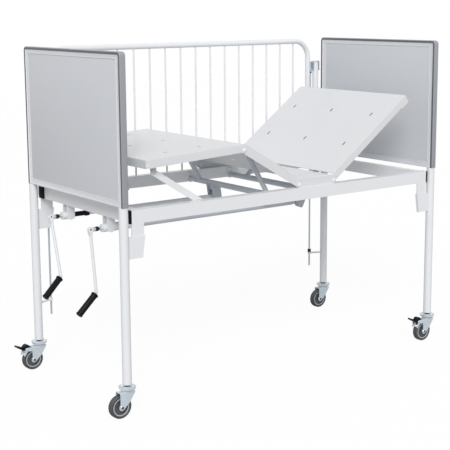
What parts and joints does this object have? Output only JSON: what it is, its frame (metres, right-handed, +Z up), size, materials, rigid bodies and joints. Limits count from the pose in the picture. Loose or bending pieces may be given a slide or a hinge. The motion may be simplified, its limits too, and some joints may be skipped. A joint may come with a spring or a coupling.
{
  "type": "pediatric hospital cot",
  "caption": "Hospital cot for a child: four-section crank platform raised at knee and back, solid end boards, drop gate on guide rods and braked swivel castors.",
  "frame": {"origin": "on the floor under the middle of the whole cot's outline, cranks and gate included", "axes": "+X along the cot from the foot end with the cranks to the head end, +Y across towards the drop gate, +Z up"},
  "size_m": [1.7549, 0.791, 1.355],
  "materials": {
    "white_enamel": "gloss",
    "grey_enamel": "satin",
    "white_plastic": "satin",
    "grey_trim": "satin",
    "grey_laminate": "satin",
    "zinc": "satin",
    "black_plastic": "satin",
    "rubber": "matte",
    "grey_rim": "satin",
    "grey_tread": "matte"
  },
  "bodies": {
    "bed_frame": {"castor_stems": "zinc", "corner_pockets": "white_enamel", "crank_brackets": "white_enamel", "foot_cross_rail": "white_enamel", "foot_edge_trim": "grey_trim", "foot_panel": "grey_laminate", "foot_panel_frame": "white_plastic", "frame_hinge_bolts": "zinc", "front_side_rail": "white_enamel", "gate_posts": "white_enamel", "gate_straps": "zinc", "guide_rods": "zinc", "head_cross_rail": "white_enamel", "head_edge_trim": "grey_trim", "head_panel": "grey_laminate", "head_panel_frame": "white_plastic", "knee_sleeve": "black_plastic", "leg_foot_front": "white_enamel", "leg_foot_rear": "white_enamel", "leg_head_front": "white_enamel", "leg_head_rear": "white_enamel", "rail_end_plugs": "black_plastic", "rear_side_rail": "white_enamel", "rod_brackets": "white_enamel", "rod_collars": "rubber", "seat_section": "white_enamel", "shaft_brackets": "white_enamel"},
    "knee_crank_shaft": {"knee_crank_shaft": "zinc"},
    "knee_crank_handle": {"knee_crank_arm": "white_enamel"},
    "knee_crank_grip": {"knee_crank_grip": "black_plastic"},
    "back_crank_shaft": {"back_crank_shaft": "zinc"},
    "back_crank_handle": {"back_crank_arm": "white_enamel"},
    "back_crank_grip": {"back_crank_grip": "black_plastic"},
    "thigh_section": {"thigh_section": "white_enamel"},
    "calf_section": {"calf_section": "white_enamel", "knee_hinge_bolts": "zinc"},
    "calf_struts": {"calf_struts": "white_enamel"},
    "knee_shaft": {"knee_shaft": "grey_enamel", "knee_lever": "grey_enamel"},
    "knee_tube": {"knee_tube": "grey_enamel"},
    "back_section": {"back_section": "white_enamel"},
    "back_shaft": {"back_shaft": "grey_enamel", "back_lever": "grey_enamel"},
    "back_tube": {"back_tube": "grey_enamel"},
    "drop_gate": {"gate_frame": "white_enamel", "gate_bars": "white_enamel"},
    "castor_fork_foot_front": {"castor_fork_foot_front": "zinc"},
    "castor_wheel_foot_front": {"castor_rim_foot_front": "grey_rim", "castor_tyre_foot_front": "grey_tread"},
    "castor_fork_foot_rear": {"castor_fork_foot_rear": "zinc"},
    "castor_wheel_foot_rear": {"castor_rim_foot_rear": "grey_rim", "castor_tyre_foot_rear": "grey_tread"},
    "castor_fork_head_front": {"castor_fork_head_front": "zinc"},
    "castor_wheel_head_front": {"castor_rim_head_front": "grey_rim", "castor_tyre_head_front": "grey_tread"},
    "castor_fork_head_rear": {"castor_fork_head_rear": "zinc"},
    "castor_wheel_head_rear": {"castor_rim_head_rear": "grey_rim", "castor_tyre_head_rear": "grey_tread"},
    "brake_pedal_foot_rear": {"brake_pedal_foot_rear": "black_plastic"},
    "brake_pedal_head_front": {"brake_pedal_head_front": "black_plastic"}
  },
  "joints": [
    {"name": "knee_crank_turn", "type": "hinge", "parent": "bed_frame", "child": "knee_crank_shaft", "pos_m": [-0.78697, 0.1465, 0.685], "axis": [1, 0, 0], "range_deg": [-2573.8, 0]},
    {"name": "knee_crank_fold", "type": "hinge", "parent": "knee_crank_shaft", "child": "knee_crank_handle", "pos_m": [-0.78697, 0.1465, 0.685], "axis": [0, 0.9583, -0.2857], "range_deg": [0, 52]},
    {"name": "knee_grip_spin", "type": "hinge", "parent": "knee_crank_handle", "child": "knee_crank_grip", "pos_m": [-0.78697, 0.07794, 0.455], "axis": [-0.7547, -0.1874, -0.6287], "continuous": true},
    {"name": "back_crank_turn", "type": "hinge", "parent": "bed_frame", "child": "back_crank_shaft", "pos_m": [-0.78697, -0.1695, 0.685], "axis": [1, 0, 0], "range_deg": [-2160, 1440]},
    {"name": "back_crank_fold", "type": "hinge", "parent": "back_crank_shaft", "child": "back_crank_handle", "pos_m": [-0.78697, -0.1695, 0.685], "axis": [0, 0.9903, -0.1392], "range_deg": [0, 52]},
    {"name": "back_grip_spin", "type": "hinge", "parent": "back_crank_handle", "child": "back_crank_grip", "pos_m": [-0.78697, -0.2029, 0.44734], "axis": [-0.7547, -0.0913, -0.6497], "continuous": true},
    {"name": "thigh_hinge", "type": "hinge", "parent": "bed_frame", "child": "thigh_section", "pos_m": [0.08303, -0.0045, 0.7915], "axis": [0, 1, 0], "range_deg": [-30.3, 0]},
    {"name": "calf_hinge", "type": "hinge", "parent": "thigh_section", "child": "calf_section", "pos_m": [-0.19792, -0.0045, 0.95567], "axis": [0, 1, 0], "range_deg": [0, 33.4]},
    {"name": "calf_strut_hinge", "type": "hinge", "parent": "bed_frame", "child": "calf_struts", "pos_m": [-0.32797, -0.0045, 0.734], "axis": [0, 1, 0], "range_deg": [-27.39, 0]},
    {"name": "knee_shaft_turn", "type": "hinge", "parent": "bed_frame", "child": "knee_shaft", "pos_m": [0.00803, -0.0045, 0.744], "axis": [0, 1, 0], "range_deg": [-40.52, 0]},
    {"name": "knee_tube_slide", "type": "slide", "parent": "bed_frame", "child": "knee_tube", "axis": [1, 0, 0], "range_m": [0, 0.0429]},
    {"name": "back_hinge", "type": "hinge", "parent": "bed_frame", "child": "back_section", "pos_m": [0.27003, -0.0045, 0.7915], "axis": [0, -1, 0], "range_deg": [-36.2, 24.14]},
    {"name": "back_shaft_turn", "type": "hinge", "parent": "bed_frame", "child": "back_shaft", "pos_m": [0.23103, -0.0045, 0.742], "axis": [0, -1, 0], "range_deg": [-26.88, 17.92]},
    {"name": "back_tube_slide", "type": "slide", "parent": "bed_frame", "child": "back_tube", "axis": [1, 0, 0], "range_m": [-0.03191, 0.02128]},
    {"name": "gate_slide", "type": "slide", "parent": "bed_frame", "child": "drop_gate", "axis": [0, 0, 1], "range_m": [-0.4335, 0]},
    {"name": "castor_swivel_foot_front", "type": "hinge", "parent": "bed_frame", "child": "castor_fork_foot_front", "pos_m": [-0.75597, -0.362, 0.1065], "axis": [0, 0, 1], "continuous": true},
    {"name": "wheel_roll_foot_front", "type": "hinge", "parent": "castor_fork_foot_front", "child": "castor_wheel_foot_front", "pos_m": [-0.78997, -0.362, 0.0445], "axis": [0, 1, 0], "continuous": true},
    {"name": "castor_swivel_foot_rear", "type": "hinge", "parent": "bed_frame", "child": "castor_fork_foot_rear", "pos_m": [-0.75597, 0.353, 0.1065], "axis": [0, 0, 1], "continuous": true},
    {"name": "wheel_roll_foot_rear", "type": "hinge", "parent": "castor_fork_foot_rear", "child": "castor_wheel_foot_rear", "pos_m": [-0.78997, 0.353, 0.0445], "axis": [0, 1, 0], "continuous": true},
    {"name": "castor_swivel_head_front", "type": "hinge", "parent": "bed_frame", "child": "castor_fork_head_front", "pos_m": [0.84403, -0.362, 0.1065], "axis": [0, 0, 1], "continuous": true},
    {"name": "wheel_roll_head_front", "type": "hinge", "parent": "castor_fork_head_front", "child": "castor_wheel_head_front", "pos_m": [0.81003, -0.362, 0.0445], "axis": [0, 1, 0], "continuous": true},
    {"name": "castor_swivel_head_rear", "type": "hinge", "parent": "bed_frame", "child": "castor_fork_head_rear", "pos_m": [0.84403, 0.353, 0.1065], "axis": [0, 0, 1], "continuous": true},
    {"name": "wheel_roll_head_rear", "type": "hinge", "parent": "castor_fork_head_rear", "child": "castor_wheel_head_rear", "pos_m": [0.81003, 0.353, 0.0445], "axis": [0, 1, 0], "continuous": true},
    {"name": "brake_foot_rear", "type": "hinge", "parent": "castor_fork_foot_rear", "child": "brake_pedal_foot_rear", "pos_m": [-0.82097, 0.353, 0.093], "axis": [0, -1, 0], "range_deg": [0, 20]},
    {"name": "brake_head_front", "type": "hinge", "parent": "castor_fork_head_front", "child": "brake_pedal_head_front", "pos_m": [0.77903, -0.362, 0.093], "axis": [0, -1, 0], "range_deg": [0, 20]}
  ],
  "couplings": [
    {"joint": "thigh_hinge", "follows": "knee_crank_turn", "ratio": 0.011772},
    {"joint": "calf_hinge", "follows": "knee_crank_turn", "ratio": -0.012977},
    {"joint": "calf_strut_hinge", "follows": "knee_crank_turn", "ratio": 0.010641},
    {"joint": "knee_shaft_turn", "follows": "knee_crank_turn", "ratio": 0.015743},
    {"joint": "knee_tube_slide", "follows": "knee_crank_turn", "m_per_rad": -0.00095493},
    {"joint": "back_hinge", "follows": "back_crank_turn", "ratio": 0.016759},
    {"joint": "back_shaft_turn", "follows": "back_crank_turn", "ratio": 0.012443},
    {"joint": "back_tube_slide", "follows": "back_crank_turn", "m_per_rad": 0.00084643}
  ]
}
